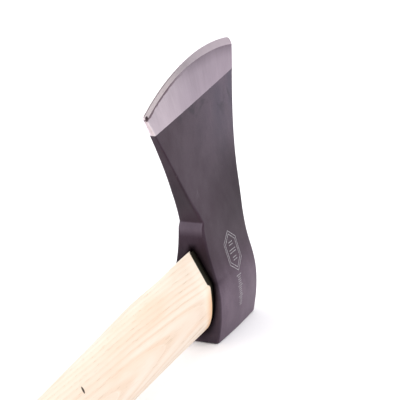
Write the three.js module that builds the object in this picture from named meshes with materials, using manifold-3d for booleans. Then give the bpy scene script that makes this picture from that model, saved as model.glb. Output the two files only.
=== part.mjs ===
// A felling axe: a forged, single-bit steel head wedged onto a curved ash haft.
// Units are millimetres. +Z runs from the poll (the flat back of the head) up to the cutting edge,
// the haft leaves the head towards -X, and +-Y is the thickness of the head.
// The origin is the centre of the poll's flat face, on which the axe stands.
// The eye is the hole through the head along X. It holds the haft's tenon, and a wooden wedge and a
// steel ring wedge, both driven in from +X, spread the tenon and lock it.
import * as THREE from "three";
import { mergeVertices } from "three/addons/utils/BufferGeometryUtils.js";
import Module from "manifold-3d";

const wasm = await Module();
wasm.setup();

// ---- Driving dimensions of the head ----
const EYE_HALF = 30; // half the height of the eye and the poll, along X
const POLL_EDGE_RADIUS = 1.2;
const NECK_HEIGHT = 84; // where the flat underside ends and the blade starts to flare to the heel
const HEEL_FLARE = { slope: 0.448, curve: 0.0013 };
const TOE_FLARE = { from: 58, curve: 0.00122 };
const EDGE_RADIUS = 195; // the cutting edge is an arc seen from the side
const EDGE_CENTRE = new THREE.Vector2(17.3, -4.8); // X and Z of the arc's centre
const EDGE_HALF_THICKNESS = 0.15;
const BEVEL_SHOULDER = 1.1; // half thickness where the honed bevel meets the ground one
const HONED_WIDTH = { heel: 3.3, toe: 4.8 };
const GROUND_TAPER = 0.062; // half thickness gained for each millimetre back from the honed bevel
const GRIND_LINE = { heel: 152.5, toe: 167.6 }; // heights of the straight line where the coat starts
const CHEEK_CROWN = { eye: 0.9, blade: 0.5 }; // how much fuller a cheek is halfway along a row
const CORNER_RADII = { heel: 2, toe: 4.5 }; // at the eye, and less where the head is thinner
const TOE_TIP_RADIUS = 7.5;
const HEEL_TIP_RADIUS = 1.2;
// Half thickness of the head at each height, at the heel side: [height, half thickness].
const CHEEK_PROFILE = [
  [0, 14],
  [15, 17.2],
  [30, 18.3],
  [43, 17.2],
  [56, 13.4],
  [69, 10.4],
  [84, 8.7],
  [101, 6.0],
  [118, 4.2],
  [134, 3.1],
  [GRIND_LINE.heel, 2.0],
];

// ---- Driving dimensions of the eye, the tenon and the wedges ----
const EYE = { bottom: 12, top: 65.3, widest: 42.5, halfWidth: 12.1 };
const FIT_GAP = 0.35; // between the wood, the wedges and the eye
const TENON_END = EYE_HALF + 3.5; // the tenon stands a little proud of the head
const WEDGE = { low: 17, high: 54, depth: 42, halfThickness: 3.1, tipHalfThickness: 0.6 };
const WEDGE_PROUD = 0.6;
const RING = { height: 36, outer: 8, wall: 1.9, length: 20, tipWall: 0.9 };

// ---- Driving dimensions of the haft ----
// Each row is [distance from the head's underside, lower edge, upper edge, half width].
const HAFT_PROFILE = [
  [9, 8.8, 65.4, 12.8],
  [22, 8.5, 65.0, 12.9],
  [60, 7.2, 60.8, 12.8],
  [120, 4.8, 54.4, 12.4],
  [180, 2.8, 48.3, 12.0],
  [230, 1.5, 43.8, 11.8],
  [300, 0.5, 38.8, 11.6],
  [370, 0.3, 36.1, 11.6],
  [440, 1.6, 35.9, 11.8],
  [510, 4.6, 38.3, 12.0],
  [580, 7.9, 41.8, 12.2],
  [635, 9.4, 44.5, 12.5],
  [675, 8.2, 47.0, 13.1],
  [705, 4.6, 51.0, 13.9],
  [728, 1.2, 55.5, 14.4],
];
const ROUNDED_BY = 80; // from here on the section is oval, with nothing left of the eye's point
const TENON_NECK = 2.4; // the tenon keeps the eye's section this far out of the head
const SHOULDER_AT = 3; // and the haft has its full section from here
const HAFT_STATIONS = 34;
const SWELL_ROUND = 9; // how far the swell's end rounds off
const FOOT_SLANT = 0.22; // how much the butt end leans back towards its toe
const FOOT_LENGTH = 120; // stretch over which that lean comes in

const SECTION_POINTS = 28;
const CHEEK_POINTS = 11;

const material = (color, roughness, metalness) =>
  new THREE.MeshStandardMaterial({ color, roughness, metalness });
const COATED_STEEL = material(0x5a4f58, 0.5, 0.4);
const ASH = material(0xf3dcc2, 0.6, 0);
const BEECH = material(0xdcb98f, 0.65, 0);
const BARE_STEEL = material(0x9b9aa0, 0.4, 0.9);

// ---- Helpers ----

// How far a round of radius r has fallen away at distance a from the side that it starts from.
const roundOff = (r, a) => (a < r ? r - Math.sqrt(r * r - (r - a) ** 2) : 0);

// A smooth curve through rows of numbers, read by the first number of each row.
function profileCurve(rows, column) {
  const curve = new THREE.SplineCurve(rows.map((row) => new THREE.Vector2(row[0], row[column])));
  const samples = curve.getPoints(12 * (rows.length - 1));
  return (at) => {
    const next = samples.findIndex((p) => p.x >= at);
    if (next === 0) return samples[0].y;
    if (next < 0) return samples[samples.length - 1].y;
    const before = samples[next - 1];
    const share = (at - before.x) / (samples[next].x - before.x);
    return THREE.MathUtils.lerp(before.y, samples[next].y, share);
  };
}

// A closed skin over rings of points. Each ring is symmetric: point i faces point n - 1 - i, and the
// two ends are closed by strips between facing points.
function loft(rings) {
  const n = rings[0].length;
  const index = [];
  const quad = (a, b, c, d) => index.push(a, b, c, a, c, d);
  for (let r = 0; r + 1 < rings.length; r++)
    for (let i = 0; i < n; i++) {
      const j = (i + 1) % n;
      quad(r * n + i, r * n + j, (r + 1) * n + j, (r + 1) * n + i);
    }
  const last = (rings.length - 1) * n;
  for (let i = 0; i + 1 < n / 2; i++) {
    quad(n - 1 - i, n - 2 - i, i + 1, i);
    quad(last + i, last + i + 1, last + n - 2 - i, last + n - 1 - i);
  }
  const geometry = new THREE.BufferGeometry();
  geometry.setFromPoints(rings.flat());
  geometry.setIndex(index);
  return geometry;
}

// The manifold-3d solid of a closed geometry, and the geometry of a solid.
function solid(geometry) {
  const bare = geometry.clone();
  bare.deleteAttribute("normal");
  bare.deleteAttribute("uv");
  const merged = mergeVertices(bare, 1e-4);
  return new wasm.Manifold(
    new wasm.Mesh({
      numProp: 3,
      vertProperties: merged.attributes.position.array,
      triVerts: new Uint32Array(merged.index.array),
    }),
  );
}

function geometryOf(made) {
  const { vertProperties, triVerts } = made.getMesh();
  const geometry = new THREE.BufferGeometry();
  geometry.setAttribute("position", new THREE.BufferAttribute(vertProperties, 3));
  geometry.setIndex(new THREE.BufferAttribute(triVerts, 1));
  geometry.computeVertexNormals();
  return geometry;
}

function mesh(name, geometry, finish) {
  const made = new THREE.Mesh(geometry, finish);
  made.name = name;
  return made;
}

// ---- The head's outline, seen from the side ----

const heelX = (z) => {
  const above = Math.max(0, z - NECK_HEIGHT);
  return -EYE_HALF - HEEL_FLARE.slope * above - HEEL_FLARE.curve * above ** 2;
};
const toeX = (z) => EYE_HALF + TOE_FLARE.curve * Math.max(0, z - TOE_FLARE.from) ** 2;

// Distance back from the cutting edge, towards the arc's centre.
const backFromEdge = (p) => EDGE_RADIUS - p.distanceTo(EDGE_CENTRE);

// The point at a distance back from the edge, on the outline x = side(z).
function outlinePoint(side, back) {
  let low = NECK_HEIGHT;
  let high = EDGE_RADIUS;
  for (let i = 0; i < 40; i++) {
    const z = (low + high) / 2;
    if (backFromEdge(new THREE.Vector2(side(z), z)) > back) low = z;
    else high = z;
  }
  return new THREE.Vector2(side(low), low);
}

const honedWidth = (x) =>
  THREE.MathUtils.lerp(HONED_WIDTH.heel, HONED_WIDTH.toe, THREE.MathUtils.smoothstep(x, -45, 15));

// A row of the blade: a function from u (0 at the heel, 1 at the toe) to a point in X and Z.
const straightRow = (heelZ, toeZ) => (u) =>
  new THREE.Vector2(heelX(heelZ), heelZ).lerp(new THREE.Vector2(toeX(toeZ), toeZ), u);

// A row that follows the edge, at a share of the honed bevel's width back from it.
function edgeRow(share) {
  const heelBack = share * HONED_WIDTH.heel;
  const toeBack = share * HONED_WIDTH.toe;
  const heel = outlinePoint(heelX, heelBack);
  const toe = outlinePoint(toeX, toeBack);
  heel.x += roundOff(HEEL_TIP_RADIUS, heelBack);
  toe.x -= roundOff(TOE_TIP_RADIUS, toeBack);
  const angle = (p) => Math.atan2(p.x - EDGE_CENTRE.x, p.y - EDGE_CENTRE.y);
  return (u) => {
    const turn = THREE.MathUtils.lerp(angle(heel), angle(toe), u);
    const x = EDGE_CENTRE.x + EDGE_RADIUS * Math.sin(turn);
    const radius = EDGE_RADIUS - share * honedWidth(x);
    return new THREE.Vector2(
      EDGE_CENTRE.x + radius * Math.sin(turn),
      EDGE_CENTRE.y + radius * Math.cos(turn),
    );
  };
}

const cheekAt = profileCurve(CHEEK_PROFILE, 1);

// Half thickness of the coated body at the height of a row's heel end. By the eye the profile gives
// the fullest line of the cheek, and in the blade it gives the line at the heel and the toe.
const bodyThickness = (heelZ) => (u) => {
  const blade = THREE.MathUtils.smoothstep(heelZ, 40, NECK_HEIGHT);
  const crown = THREE.MathUtils.lerp(CHEEK_CROWN.eye, CHEEK_CROWN.blade, blade);
  return cheekAt(heelZ) + CHEEK_CROWN.blade * blade - crown * (2 * u - 1) ** 2;
};

// Half thickness of the two bevels at a point.
function bevelThickness(p) {
  const back = Math.max(0, backFromEdge(p));
  const honed = honedWidth(p.x);
  if (back < honed) return THREE.MathUtils.lerp(EDGE_HALF_THICKNESS, BEVEL_SHOULDER, back / honed);
  return BEVEL_SHOULDER + GROUND_TAPER * (back - honed);
}

// One closed ring of the head: along the -Y cheek from heel to toe, and back along the +Y cheek.
function headRing(row, thickness, inset = 0) {
  const middle = thickness(0.5);
  const heelRound = Math.min(CORNER_RADII.heel, middle / 6);
  const toeRound = Math.min(CORNER_RADII.toe, middle / 4);
  const length = row(0).distanceTo(row(1)) - 2 * inset;
  const steps = [0, 0.134, 0.5, 1]; // a quarter turn in three chords
  const along = [
    ...steps.map((s) => s * heelRound),
    ...Array.from(
      { length: CHEEK_POINTS },
      (_, i) => heelRound + ((i + 1) / (CHEEK_POINTS + 1)) * (length - heelRound - toeRound),
    ),
    ...steps.map((s) => length - s * toeRound).reverse(),
  ];
  const near = along.map((a) => {
    const u = (a + inset) / (length + 2 * inset);
    const p = row(u);
    const y = thickness(u) - inset - roundOff(heelRound, a) - roundOff(toeRound, length - a);
    return new THREE.Vector3(p.x, -y, p.y);
  });
  const far = near.map((p) => new THREE.Vector3(p.x, -p.y, p.z)).reverse();
  return [...near, ...far];
}

// ---- The head ----

// The eye's outline, pointed towards the edge and round towards the poll. It is drawn with its own X
// across the head and its own Y up, and a gap makes it smaller all round.
function eyeShape(gap) {
  const half = EYE.halfWidth - gap;
  const low = EYE.bottom + gap;
  const high = EYE.top - 2 * gap; // the point is sharp, so its sides need more to clear by the gap
  const shape = new THREE.Shape();
  shape.moveTo(0, high);
  shape.lineTo(half, EYE.widest);
  shape.bezierCurveTo(half + 0.5, EYE.widest - 9.5, half + 1.4, low, 0, low);
  shape.bezierCurveTo(-half - 1.4, low, -half - 0.5, EYE.widest - 9.5, -half, EYE.widest);
  shape.closePath();
  return shape;
}

function head() {
  const rings = [];
  for (const turn of [0, 0.5, 1, 1.5]) {
    const inset = POLL_EDGE_RADIUS * (1 - Math.sin((turn / 1.5) * (Math.PI / 2)));
    const z = POLL_EDGE_RADIUS * (1 - Math.cos((turn / 1.5) * (Math.PI / 2)));
    rings.push(headRing(straightRow(z, z), bodyThickness(z), inset));
  }
  for (const z of [8, 15, 22, 28, 34, 40, 46, 52, 58, 64, 70, 77, 82])
    rings.push(headRing(straightRow(z, tilted(z)), bodyThickness(z)));
  for (const z of [85, 89, 95, 102, 110, 119, 129, 141, GRIND_LINE.heel])
    rings.push(headRing(straightRow(z, tilted(z)), bodyThickness(z)));
  const grind = straightRow(GRIND_LINE.heel, GRIND_LINE.toe);
  const shoulder = edgeRow(1);
  for (const share of [0.04, 0.5, 1]) {
    const row = (u) => grind(u).lerp(shoulder(u), share);
    rings.push(headRing(row, (u) => bevelThickness(row(u))));
  }
  for (const share of [0.6, 0.3, 0.1, 0]) {
    const row = edgeRow(share);
    rings.push(headRing(row, (u) => bevelThickness(row(u))));
  }
  const eye = new THREE.ExtrudeGeometry(eyeShape(0), {
    depth: 3 * EYE_HALF,
    steps: 1,
    curveSegments: 12,
    bevelEnabled: false,
  });
  eye.translate(0, 0, -1.5 * EYE_HALF);
  eye.applyMatrix4(acrossToRow);
  return geometryOf(solid(loft(rings)).subtract(solid(eye)));
}

// Above the eye each row tilts a little more, until it lies along the grind line.
function tilted(z) {
  const share = THREE.MathUtils.clamp((z - 60) / (GRIND_LINE.heel - 60), 0, 1);
  return z + share * (GRIND_LINE.toe - GRIND_LINE.heel);
}

// Turns a shape drawn across the head (its X to +Y, its Y to +Z) so that its depth runs along +X.
const acrossToRow = new THREE.Matrix4().makeBasis(
  new THREE.Vector3(0, 1, 0),
  new THREE.Vector3(0, 0, 1),
  new THREE.Vector3(1, 0, 0),
);

// ---- The haft ----

const haftLow = profileCurve(HAFT_PROFILE, 1);
const haftHigh = profileCurve(HAFT_PROFILE, 2);
const haftHalf = profileCurve(HAFT_PROFILE, 3);
const HAFT_START = HAFT_PROFILE[0][0];
const HAFT_LENGTH = HAFT_PROFILE[HAFT_PROFILE.length - 1][0] + SWELL_ROUND;

// Points of the tenon's section, from the point down the +Y side and up the -Y side. No point lies
// on the centre line, so that each faces its mirror image.
function tenonSection() {
  const half = eyeShape(FIT_GAP).getPoints(40);
  const path = new THREE.CurvePath();
  for (let i = 0; i + 1 < half.length; i++) path.add(new THREE.LineCurve(half[i], half[i + 1]));
  return Array.from({ length: SECTION_POINTS }, (_, i) =>
    path.getPointAt((i + 0.5) / SECTION_POINTS),
  );
}

// Points of the grip's oval section, in the same order. It is a little squarer than an ellipse.
function ovalSection(low, high, half) {
  return Array.from({ length: SECTION_POINTS }, (_, i) => {
    const turn = ((i + 0.5) / SECTION_POINTS) * 2 * Math.PI;
    const square = (v) => Math.sign(v) * Math.abs(v) ** 0.9;
    return new THREE.Vector2(
      half * square(Math.sin(turn)),
      (low + high) / 2 + ((high - low) / 2) * square(Math.cos(turn)),
    );
  });
}

// A section stretched so that it just fills a box from low to high and half to each side.
function fitted(section, low, high, half) {
  const box = new THREE.Box2().setFromPoints(section);
  return section.map(
    (p) =>
      new THREE.Vector2(
        (p.x / box.max.x) * half,
        THREE.MathUtils.mapLinear(p.y, box.min.y, box.max.y, low, high),
      ),
  );
}

function haftRing(distance) {
  const within = Math.min(distance, HAFT_LENGTH - SWELL_ROUND);
  const past = Math.max(0, distance - within);
  const closing = roundOff(SWELL_ROUND, SWELL_ROUND - past);
  const low = haftLow(within) + closing;
  const high = haftHigh(within) - closing;
  const half = haftHalf(within) - closing;
  const oval = ovalSection(low, high, half);
  const pointed = fitted(tenonSection(), low, high, half);
  const blend = THREE.MathUtils.smoothstep(distance, 0, ROUNDED_BY);
  const slant = FOOT_SLANT * THREE.MathUtils.smoothstep(distance, HAFT_LENGTH - FOOT_LENGTH, HAFT_LENGTH);
  return pointed.map((p, i) => {
    const q = p.lerp(oval[i], blend);
    const x = -EYE_HALF - distance - slant * (q.y - (low + high) / 2);
    return new THREE.Vector3(x, q.x, q.y);
  });
}

function haft(wedgeCut, ringCut) {
  const tenon = tenonSection();
  const rings = [TENON_END, 10, -EYE_HALF - TENON_NECK].map((x) =>
    tenon.map((p) => new THREE.Vector3(x, p.x, p.y)),
  );
  const usual = Array.from(
    { length: HAFT_STATIONS },
    (_, i) => HAFT_START + (i / (HAFT_STATIONS - 1)) * (HAFT_LENGTH - SWELL_ROUND - HAFT_START),
  );
  const round = [0.4, 0.7, 0.9].map((share) => HAFT_LENGTH - SWELL_ROUND + share * SWELL_ROUND);
  rings.push(...[SHOULDER_AT, ...usual, ...round].map((distance) => haftRing(distance)));
  return geometryOf(solid(loft(rings)).subtract(wedgeCut).subtract(ringCut));
}

// ---- The wedges ----

// The wooden wedge's body, larger by a gap for the kerf that it sits in.
function wedgeSolid(gap) {
  const proud = gap > 0 ? 5 : WEDGE_PROUD; // a cut runs out past the tenon's end
  const start = TENON_END + proud;
  const tip = TENON_END - WEDGE.depth - gap;
  const slope = (WEDGE.halfThickness - WEDGE.tipHalfThickness) / WEDGE.depth;
  const halfAt = (x) => WEDGE.tipHalfThickness + gap + slope * (x - tip);
  const shape = new THREE.Shape();
  shape.moveTo(start, halfAt(start));
  shape.lineTo(tip, halfAt(tip));
  shape.lineTo(tip, -halfAt(tip));
  shape.lineTo(start, -halfAt(start));
  shape.closePath();
  const geometry = new THREE.ExtrudeGeometry(shape, {
    depth: WEDGE.high - WEDGE.low + 2 * gap,
    bevelEnabled: false,
  });
  geometry.translate(0, 0, WEDGE.low - gap);
  return solid(geometry);
}

// The steel ring wedge: a short tube, ground sharp at the end that is driven in.
function ringSolid(gap) {
  const proud = gap > 0 ? 5 : WEDGE_PROUD;
  const start = RING.length + proud;
  const outer = RING.outer + gap;
  const inner = RING.outer - RING.wall - gap;
  const tipOuter = RING.outer - (RING.wall - RING.tipWall) + gap;
  const profile = [
    new THREE.Vector2(inner, -gap),
    new THREE.Vector2(tipOuter, -gap),
    new THREE.Vector2(outer, RING.length / 3),
    new THREE.Vector2(outer, start),
    new THREE.Vector2(inner, start),
    new THREE.Vector2(inner, -gap),
  ];
  const geometry = new THREE.LatheGeometry(profile, 28);
  geometry.rotateZ(-Math.PI / 2);
  geometry.translate(TENON_END - RING.length, 0, RING.height);
  return solid(geometry);
}

const wedgeCut = wedgeSolid(FIT_GAP);
const ringCut = ringSolid(FIT_GAP);

const axe = new THREE.Group();
axe.name = "felling_axe";
axe.add(
  mesh("axe_head", head(), COATED_STEEL),
  mesh("haft", haft(wedgeCut, ringCut), ASH),
  mesh("wooden_wedge", geometryOf(wedgeSolid(0).subtract(ringCut)), BEECH),
  mesh("ring_wedge", geometryOf(ringSolid(0)), BARE_STEEL),
);

export default axe;
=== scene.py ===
# %% [markdown]
# # A felling axe
# The axe has four pieces: a forged steel head, a curved ash haft, and two wedges that lock the haft's
# tenon in the head's eye. The frame file brings the engineering model of the same four pieces, in metres:
# the poll stands on Z = 0, the edge points up, the haft runs towards -X and Y is the thickness. Each
# visible piece below is a finer surface in the same place, and it stands for its engineering solid.

import bpy
import numpy as np
from mathutils import Matrix, Vector


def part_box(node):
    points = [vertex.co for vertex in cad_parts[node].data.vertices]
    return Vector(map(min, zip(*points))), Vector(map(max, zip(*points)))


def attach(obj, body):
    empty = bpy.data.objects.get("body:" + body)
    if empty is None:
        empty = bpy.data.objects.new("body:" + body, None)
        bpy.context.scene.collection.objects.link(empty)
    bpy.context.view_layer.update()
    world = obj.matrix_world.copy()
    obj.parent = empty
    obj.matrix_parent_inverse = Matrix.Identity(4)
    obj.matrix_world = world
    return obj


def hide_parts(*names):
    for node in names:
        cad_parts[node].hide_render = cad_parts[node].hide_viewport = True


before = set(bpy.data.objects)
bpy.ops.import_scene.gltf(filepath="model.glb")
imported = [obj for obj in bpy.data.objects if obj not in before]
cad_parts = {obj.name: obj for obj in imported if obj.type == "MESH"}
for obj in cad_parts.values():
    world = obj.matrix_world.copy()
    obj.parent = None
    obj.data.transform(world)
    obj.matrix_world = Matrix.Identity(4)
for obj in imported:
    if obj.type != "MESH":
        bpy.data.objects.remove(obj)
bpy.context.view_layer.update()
MM = 0.001
HEAD_LOW, HEAD_HIGH = (np.array(corner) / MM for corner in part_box("axe_head"))
HAFT_LOW, HAFT_HIGH = (np.array(corner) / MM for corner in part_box("haft"))
print("head, mm:", HEAD_LOW.round(1), HEAD_HIGH.round(1))
print("haft, mm:", HAFT_LOW.round(1), HAFT_HIGH.round(1))

# %% [markdown]
# ## Tools for surfaces
# A forging or a shaved handle could be pushed about by hand with sculpt brushes, but its sections are
# known, so it is easier to carry a changing outline along a path and skin it. Two helpers do that. The
# first turns a short table of widths or heights into a curve with no kinks. The second makes the skin,
# and closes both ends with strips between points that face each other.

# %% A smooth curve through a short table
CURVE_STEP = 0.1  # mm between the samples that stand for a curve
BELL_REACH = 4  # the bell-shaped weight is cut off at this many of its widths


def smooth_curve(places, values, reach):
    """Straight lines through (place, value), averaged with a bell-shaped weight of width reach.

    Beyond the first and last place the end slopes carry on, so that the average is fair there too."""
    places, values = np.asarray(places, float), np.asarray(values, float)
    margin = BELL_REACH * reach
    fine = np.arange(places[0] - 2 * margin, places[-1] + 2 * margin, CURVE_STEP)
    line = np.interp(fine, places, values)
    first = (values[1] - values[0]) / (places[1] - places[0])
    last = (values[-1] - values[-2]) / (places[-1] - places[-2])
    line += np.minimum(fine - places[0], 0) * first + np.maximum(fine - places[-1], 0) * last
    offsets = np.arange(-margin, margin + CURVE_STEP, CURVE_STEP)
    weight = np.exp(-0.5 * (offsets / reach) ** 2)
    smooth = np.convolve(line, weight / weight.sum(), mode="same")
    return lambda place: np.interp(place, fine, smooth)


def smoothstep(x, low, high):
    """0 below low, 1 above high, and 3t^2 - 2t^3 between them."""
    t = np.clip((x - low) / (high - low), 0, 1)
    return t * t * (3 - 2 * t)


# %% A closed skin over rings of points
SHARP_ANGLE = np.radians(32)  # faces that meet at more than this have a crease between them


def mesh_object(name, points, faces):
    """An object from points in millimetres and faces as lists of point numbers, shaded smooth."""
    mesh = bpy.data.meshes.new(name)
    mesh.from_pydata((np.asarray(points) * MM).tolist(), [], faces)
    mesh.shade_smooth()
    mesh.set_sharp_from_angle(angle=SHARP_ANGLE)
    mesh.validate()
    obj = bpy.data.objects.new(name, mesh)
    bpy.context.scene.collection.objects.link(obj)
    return obj


def loft(name, rings, side, across=0):
    """Skins rings shaped (rows, points, 3): quad (r, i) joins points i and i + 1 of rows r and r + 1.

    Each ring is side points on one flank, across points between the flanks, side points back on the
    other flank and across points again. The ends are strips between the points that face each other."""
    rings = np.asarray(rings)
    rows, n = rings.shape[:2]
    r, i = np.meshgrid(np.arange(rows - 1), np.arange(n), indexing="ij")
    j = (i + 1) % n
    quads = np.stack([r * n + i, r * n + j, (r + 1) * n + j, (r + 1) * n + i], -1).reshape(-1, 4)
    facing = 2 * side + across - 1  # point i of the first flank faces point facing - i
    k = np.arange(1, side - 2)
    strips = np.stack([k, k + 1, facing - k - 1, facing - k], -1).tolist()
    strips.append([0, 1, facing - 1, facing, *range(facing + 1, n)])
    strips.append([side - 2, *range(side - 1, side + across + 1), side + across + 1])
    last = (rows - 1) * n
    caps = [[last + p for p in strip] for strip in strips] + [strip[::-1] for strip in strips]
    return mesh_object(name, rings.reshape(-1, 3), quads.tolist() + caps)


def cut(obj, *cutters):
    """Takes the space of each cutter out of obj, and deletes the cutters."""
    for cutter in cutters:
        boolean = obj.modifiers.new("cut", "BOOLEAN")
        boolean.operation, boolean.object, boolean.solver = "DIFFERENCE", cutter, "EXACT"
        fresh = obj.evaluated_get(bpy.context.evaluated_depsgraph_get())
        mesh = bpy.data.meshes.new_from_object(fresh)
        obj.modifiers.clear()
        obj.data = mesh
        bpy.data.objects.remove(cutter)
    obj.data.shade_smooth()
    obj.data.set_sharp_from_angle(angle=SHARP_ANGLE)
    return obj


# %% [markdown]
# ## The head
# The head is forged from one bar. Below is the poll, above it the eye with its bulging cheeks, then the
# blade, which thins all the way up and flares more to the heel than to the toe. Where the blade's
# underside begins, it steps in and leaves a small ledge. The head could be modelled as a box and rounded
# with a subdivision modifier, but its long straight lines would go soft. So the outline is one curve for
# the heel side and one for the toe side, and the thickness is a table of half widths by height. A
# rounded rectangle carried up these curves gives the coated body. The two bevels are flatter rows that
# turn from the straight grind line into the arc of the edge.

# %% The head's measures, in mm
EYE_HALF = 30.0  # half the eye's length, so the head's underside is at X = -30
POLL_ROUND = 1.2
NECK = 84.0  # height at which the blade's underside begins
HEEL_SLOPE, HEEL_CURVE = 0.448, 0.0013
NECK_STEP = 1.3  # depth of the ledge at the neck
STEP_IN, STEP_OUT = (-4.5, 0), (1, 26)  # heights from the neck over which the ledge comes and goes
TOE_FROM, TOE_CURVE = 58.0, 0.00122
EDGE_RADIUS, EDGE_X, EDGE_Z = 195.0, 17.3, -4.8  # the arc of the edge, and its centre
EDGE_HALF, SHOULDER_HALF = 0.12, 1.1  # half thickness at the edge, and where the honed bevel starts
HONED_HEEL, HONED_TOE = 3.3, 4.8  # width of the honed bevel
HONED_SPREAD = (-45, 15)  # the places in X between which it widens
GROUND_TAPER, GROUND_BELLY = 0.088, 0.0013
GRIND_HEEL, GRIND_TOE = 152.5, 167.6  # height of the grind line
TILT_FROM = 60.0  # rows are level up to here and then tilt, more and more, into the grind line
CHEEK_HEIGHTS = [0, 15, 30, 39, 47, 56, 69, 84, 101, 118, 134, GRIND_HEEL]
CHEEK_HALVES = [14, 17.4, 18.6, 17.9, 16.3, 13.4, 10.4, 8.7, 6.0, 4.2, 3.1, 2.0]
EYE_CROWN, BLADE_CROWN = 0.9, 0.5  # how much fuller a cheek is halfway along a row
CROWN_FROM = 40.0  # height at which the one crown starts to turn into the other
TIP_ROUND_HEEL, TIP_ROUND_TOE = 1.4, 7.5  # rounds at the two ends of the edge

CHEEK_REACH = 5.0

cheek_half = smooth_curve(CHEEK_HEIGHTS, CHEEK_HALVES, CHEEK_REACH)
print("half widths at the poll, the eye and the grind line:", cheek_half([0, 30, GRIND_HEEL]).round(2))


def heel_x(z):
    """X of the heel side: level up to the neck, then a slope that steepens with the square of height.

    Just above the neck the outline steps in a little and comes back out, which leaves a rounded ledge."""
    above = np.maximum(0, z - NECK)
    flare = HEEL_SLOPE * above + HEEL_CURVE * above**2
    step = NECK_STEP * smoothstep(z - NECK, *STEP_IN) * (1 - smoothstep(z - NECK, *STEP_OUT))
    return -EYE_HALF - flare + step


def toe_x(z):
    """X of the toe side: level by the eye, then curving out with the square of height."""
    return EYE_HALF + TOE_CURVE * np.maximum(0, z - TOE_FROM) ** 2


def tilt(z):
    """How much higher a row's toe end is than its heel end, from nothing at the eye to the grind line's."""
    return (GRIND_TOE - GRIND_HEEL) * np.clip((z - TILT_FROM) / (GRIND_HEEL - TILT_FROM), 0, 1)


# %% Rows of the head, as functions from 0 at the heel to 1 at the toe
def body_row(z):
    """A straight row from heel to toe at heel height z."""
    high = z + tilt(z)
    return lambda u: (heel_x(z) + u * (toe_x(high) - heel_x(z)), z + u * (high - z))


def back_from_edge(x, z):
    """Distance from the arc of the edge, measured towards its centre."""
    return EDGE_RADIUS - np.hypot(x - EDGE_X, z - EDGE_Z)


def honed_width(x):
    """Width of the honed bevel, which is wider towards the toe."""
    return HONED_HEEL + (HONED_TOE - HONED_HEEL) * smoothstep(x, *HONED_SPREAD)


def outline_height(side_x, back):
    """Height at which the outline x = side_x(z) is this far back from the edge."""
    z = np.linspace(NECK, EDGE_RADIUS, 4000)
    return np.interp(-back, -back_from_edge(side_x(z), z), z)


def fallen(r, a):
    """How far a round of radius r has fallen away at distance a from the side that it starts from."""
    a = np.clip(a, 0, r)
    return r - np.sqrt(np.maximum(0, r * r - (r - a) ** 2))


def arc_row(share):
    """A row that follows the edge, at a share of the honed bevel's width back from it.

    Its two ends are drawn in where the tips of the edge are rounded."""
    ends = []
    for side_x, width, tip, sign in (
        (heel_x, HONED_HEEL, TIP_ROUND_HEEL, 1),
        (toe_x, HONED_TOE, TIP_ROUND_TOE, -1),
    ):
        z = outline_height(side_x, share * width)
        x = side_x(z) + sign * fallen(tip, share * width)
        ends.append(np.arctan2(x - EDGE_X, z - EDGE_Z))

    def row(u):
        turn = ends[0] + u * (ends[1] - ends[0])
        r = EDGE_RADIUS - share * honed_width(EDGE_X + EDGE_RADIUS * np.sin(turn))
        return EDGE_X + r * np.sin(turn), EDGE_Z + r * np.cos(turn)

    return row


def between(row_a, row_b, share):
    """The row a share of the way from one row to another."""
    return lambda u: tuple(a + share * (b - a) for a, b in zip(row_a(u), row_b(u)))


def thickness(z, u):
    """Half thickness at heel height z and share u of the row: the fullest value less crown (2u - 1)^2.

    By the eye the table gives the fullest line, and in the blade it gives the line at heel and toe."""
    blade = smoothstep(z, CROWN_FROM, NECK)
    crown = EYE_CROWN + (BLADE_CROWN - EYE_CROWN) * blade
    return cheek_half(z) + BLADE_CROWN * blade - crown * (2 * u - 1) ** 2


def body_half(z):
    """Half thickness of the coated body along the row at heel height z, as a function of the share."""
    return lambda u: thickness(z, u)


def bevel_half(row):
    """Half thickness of the two bevels along a row: two straight tapers that meet at the shoulder."""

    def half(u):
        x, z = row(u)
        back = np.maximum(0, back_from_edge(x, z))
        wide = honed_width(x)
        honed = EDGE_HALF + (SHOULDER_HALF - EDGE_HALF) * back / wide
        past = back - wide
        return np.where(past < 0, honed, SHOULDER_HALF + GROUND_TAPER * past - GROUND_BELLY * past**2)

    return half


# %% One ring round the head
CHEEK_POINTS, CORNER_POINTS, FACE_POINTS = 72, 7, 9
HEEL_ROUND, TOE_ROUND = 1.6, 4.5
# where the steel is thin, a corner's radius is a share of the half thickness
BODY_HEEL_SHARE, BEVEL_HEEL_SHARE, TOE_SHARE = 0.25, 0.7, 0.3125


def head_ring(row, half, inset=0.0, heel_share=BODY_HEEL_SHARE):
    """A rounded rectangle laid along a row: quarter circles of radius r at the corners, and y = +-half."""
    middle = float(half(np.array(0.5)))
    r_heel, r_toe = min(HEEL_ROUND, middle * heel_share), min(TOE_ROUND, middle * TOE_SHARE)
    (x0, x1), (z0, z1) = row(np.array([0.0, 1.0]))
    length = np.hypot(x1 - x0, z1 - z0)
    quarter = np.linspace(0, np.pi / 2, CORNER_POINTS)
    cheek = np.linspace(0, 1, CHEEK_POINTS + 2)[1:-1]
    along = np.concatenate([
        inset + r_heel * (1 - np.cos(quarter)),
        inset + r_heel + cheek * (length - 2 * inset - r_heel - r_toe),
        length - inset - r_toe * (1 - np.sin(quarter)),
    ])
    u = along / length
    fall = np.concatenate([
        r_heel * (1 - np.sin(quarter)),
        np.zeros(CHEEK_POINTS),
        r_toe * (1 - np.cos(quarter)),
    ])
    x, z = row(u)
    y = half(u) - inset - fall
    near, far = np.stack([x, -y, z], -1), np.stack([x, y, z], -1)[::-1]
    share = np.linspace(1, -1, FACE_POINTS + 2)[1:-1, None]
    swing = np.insert(share, [0, 1], 1, axis=1)  # leaves x and z, and takes y over to the other flank
    return np.concatenate([near, near[-1] * swing, far, far[-1] * swing])


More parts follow.
